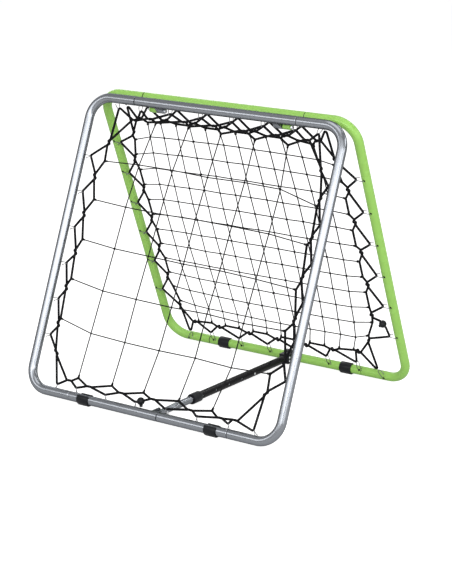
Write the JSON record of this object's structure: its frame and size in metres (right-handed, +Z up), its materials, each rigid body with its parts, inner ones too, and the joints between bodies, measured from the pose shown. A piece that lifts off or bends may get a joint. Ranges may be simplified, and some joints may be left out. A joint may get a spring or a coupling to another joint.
{
  "type": "soccer target net",
  "caption": "Two-sided folding ball rebounder: two square tube frames lean together like an A, each with a net laced on hooks, held apart by a telescopic strut.",
  "frame": {"origin": "on the ground under the middle of the hinge line, at the centre of the bounding box", "axes": "+X along the tubes and the hinge line to the right, -Y towards the silver front frame, +Z up"},
  "size_m": [0.84, 0.6775, 0.7887],
  "materials": {
    "silver_tube": "silver powder coat, satin",
    "green_tube": "bright green powder coat, satin",
    "black_tube": "black powder coat, satin",
    "black_plastic": "matte moulded plastic",
    "cord": "black braided cord",
    "steel_hardware": "zinc plated steel"
  },
  "bodies": {
    "front_frame": {"front_side_tube_left": "silver_tube", "front_side_tube_right": "silver_tube", "front_top_tube": "silver_tube", "front_bottom_tube_left": "silver_tube", "front_bottom_tube_right": "silver_tube", "front_hinge_ear_left": "silver_tube", "front_hinge_ear_right": "silver_tube", "front_foot_clip_left": "black_plastic", "front_foot_clip_right": "black_plastic", "front_cord_lock_body": "black_plastic", "front_net": "cord", "front_border_rope": "cord", "front_lacing_cord": "cord", "front_cord_lock_spring": "steel_hardware", "hinge_bolt_left": "steel_hardware", "hinge_nut_left": "steel_hardware", "hinge_washer_left": "black_plastic", "hinge_bolt_right": "steel_hardware", "hinge_nut_right": "steel_hardware", "hinge_washer_right": "black_plastic", "strut_bracket": "silver_tube", "strut_bolt": "steel_hardware", "strut_nut": "steel_hardware"},
    "rear_frame": {"rear_side_tube_left": "green_tube", "rear_side_tube_right": "green_tube", "rear_top_tube": "green_tube", "rear_bottom_tube_left": "green_tube", "rear_bottom_tube_right": "green_tube", "rear_hinge_ear_left": "green_tube", "rear_hinge_ear_right": "green_tube", "rear_foot_clip_left": "black_plastic", "rear_foot_clip_right": "black_plastic", "rear_cord_lock_body": "black_plastic", "rear_net": "cord", "rear_border_rope": "cord", "rear_lacing_cord": "cord", "rear_cord_lock_spring": "steel_hardware"},
    "strut_inner": {"strut_inner_tube": "silver_tube"},
    "strut_button": {"strut_snap_button": "steel_hardware"},
    "strut_outer": {"strut_outer_tube": "black_tube", "strut_collar": "black_plastic", "strut_snap_hook": "black_plastic", "strut_hook_screw_lower": "steel_hardware", "strut_hook_screw_upper": "steel_hardware"},
    "front_lock_plunger": {"front_cord_lock_plunger": "black_plastic"},
    "rear_lock_plunger": {"rear_cord_lock_plunger": "black_plastic"}
  },
  "joints": [
    {"name": "frame_spread", "type": "hinge", "parent": "front_frame", "child": "rear_frame", "pos_m": [0, 0, 0.74763], "axis": [1, 0, 0], "range_deg": [0, 19.5]},
    {"name": "strut_pivot", "type": "hinge", "parent": "front_frame", "child": "strut_inner", "pos_m": [0.02, -0.2815, 0.0157], "axis": [1, 0, 0], "range_deg": [0, 10.5]},
    {"name": "strut_slide", "type": "slide", "parent": "strut_inner", "child": "strut_outer", "axis": [0, 1, 0], "range_m": [0, 0.2415], "deforming": ["strut_snap_button"]},
    {"name": "snap_button_press", "type": "slide", "parent": "strut_inner", "child": "strut_button", "axis": [-1, 0, 0], "range_m": [0, 0.003], "stiffness_N_per_m": 400, "springref_m": -0.004, "deforming": ["strut_snap_button"]},
    {"name": "front_lock_press", "type": "slide", "parent": "front_frame", "child": "front_lock_plunger", "axis": [-0.3401, 0.3492, 0.8731], "range_m": [0, 0.003], "stiffness_N_per_m": 600, "springref_m": -0.005, "deforming": ["front_cord_lock_spring"]},
    {"name": "rear_lock_press", "type": "slide", "parent": "rear_frame", "child": "rear_lock_plunger", "axis": [0.7774, -0.2336, 0.584], "range_m": [0, 0.003], "stiffness_N_per_m": 600, "springref_m": -0.005, "deforming": ["rear_cord_lock_spring"]}
  ],
  "couplings": [
    {"joint": "strut_pivot", "follows": "frame_spread", "ratio": 0.5246},
    {"joint": "strut_slide", "follows": "frame_spread", "m_per_rad": 0.708}
  ]
}
